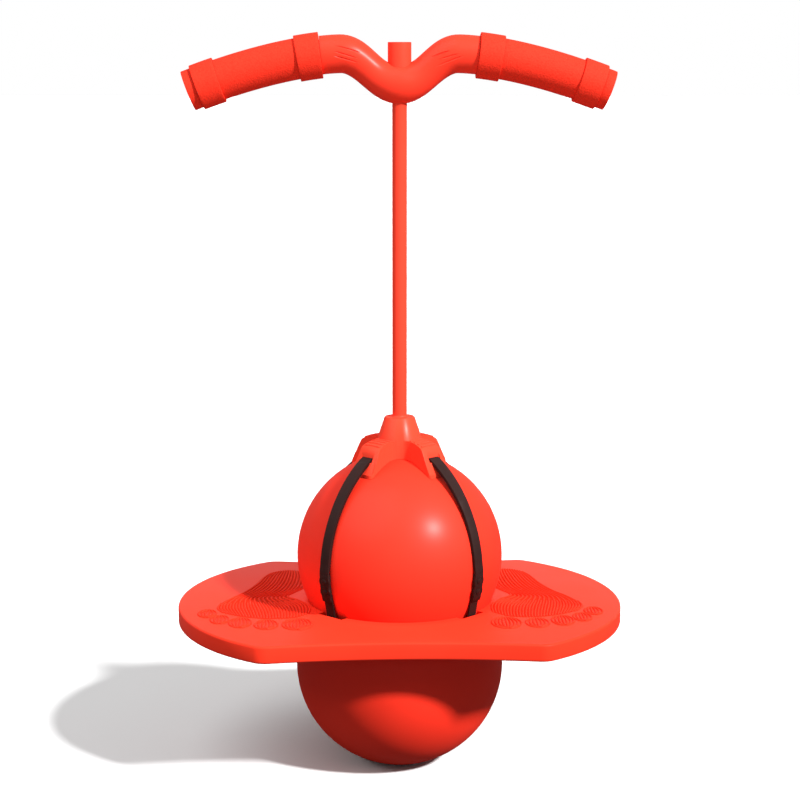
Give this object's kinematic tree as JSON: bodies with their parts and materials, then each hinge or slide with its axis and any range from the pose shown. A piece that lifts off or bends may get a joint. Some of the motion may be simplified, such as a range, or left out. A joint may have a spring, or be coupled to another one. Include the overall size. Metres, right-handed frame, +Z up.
{
  "type": "stand-on bouncing ball",
  "caption": "Inflated ball squeezed through a foot deck, with straps to a crown and an elastic stem with a gull-wing handlebar, for standing on and bouncing.",
  "frame": {"origin": "on the floor under the middle of the ball, at the middle of the flattened patch that it stands on", "axes": "+Z up along the stem, -Y to the front where the rider's toes point, +X along the handlebar to the right as seen from the front"},
  "size_m": [0.39, 0.2796, 0.6407],
  "materials": {
    "ball_vinyl": "semi-gloss orange-red vinyl",
    "orange_plastic": "satin orange-red moulded plastic",
    "stem_rubber": "satin orange-red elastic rubber",
    "grip_foam": "matt orange-red foam, finely stippled",
    "strap_rubber": "satin black rubber"
  },
  "bodies": {
    "ball": {"ball": "ball_vinyl"},
    "deck": {"deck": "orange_plastic", "crown": "orange_plastic", "stem_foot": "stem_rubber", "ball_valve": "ball_vinyl", "front_left_strap": "strap_rubber", "front_right_strap": "strap_rubber", "back_left_strap": "strap_rubber", "back_right_strap": "strap_rubber", "front_left_strap_tail": "strap_rubber", "front_right_strap_tail": "strap_rubber", "back_left_strap_tail": "strap_rubber", "back_right_strap_tail": "strap_rubber"},
    "valve_plug": {"valve_plug": "stem_rubber"},
    "stem_neck": {"stem_neck": "stem_rubber"},
    "stem_shaft": {"stem_shaft": "stem_rubber"},
    "stem_head": {"stem_head": "stem_rubber"},
    "handlebar": {"handlebar": "orange_plastic", "left_grip": "grip_foam", "right_grip": "grip_foam", "left_inner_collar": "grip_foam", "right_inner_collar": "grip_foam", "left_outer_collar": "grip_foam", "right_outer_collar": "grip_foam", "left_end_plug": "grip_foam", "right_end_plug": "grip_foam"}
  },
  "joints": [
    {"name": "bounce", "type": "slide", "parent": "ball", "child": "deck", "axis": [0, 0, 1], "range_m": [-0.04, 0], "stiffness_N_per_m": 9000, "springref_m": 0.002, "deforming": ["ball"]},
    {"name": "valve_plug_pull", "type": "slide", "parent": "deck", "child": "valve_plug", "axis": [0, 0.9659, 0.2588], "range_m": [0, 0.012]},
    {"name": "stem_bend_fore_aft", "type": "hinge", "parent": "deck", "child": "stem_neck", "pos_m": [0, 0, 0.3141], "axis": [1, 0, 0], "range_deg": [-25, 25], "stiffness_Nm_per_rad": 6},
    {"name": "stem_bend_sideways", "type": "hinge", "parent": "stem_neck", "child": "stem_shaft", "pos_m": [0, 0, 0.3341], "axis": [0, 1, 0], "range_deg": [-25, 25], "stiffness_Nm_per_rad": 6},
    {"name": "stem_stretch", "type": "slide", "parent": "stem_shaft", "child": "stem_head", "axis": [0, 0, 1], "range_m": [0, 0.12], "stiffness_N_per_m": 800, "deforming": ["stem_shaft"]},
    {"name": "handlebar_twist", "type": "hinge", "parent": "stem_head", "child": "handlebar", "pos_m": [0, 0, 0.59564], "axis": [0, 0, 1], "range_deg": [-90, 90], "stiffness_Nm_per_rad": 0.05}
  ]
}
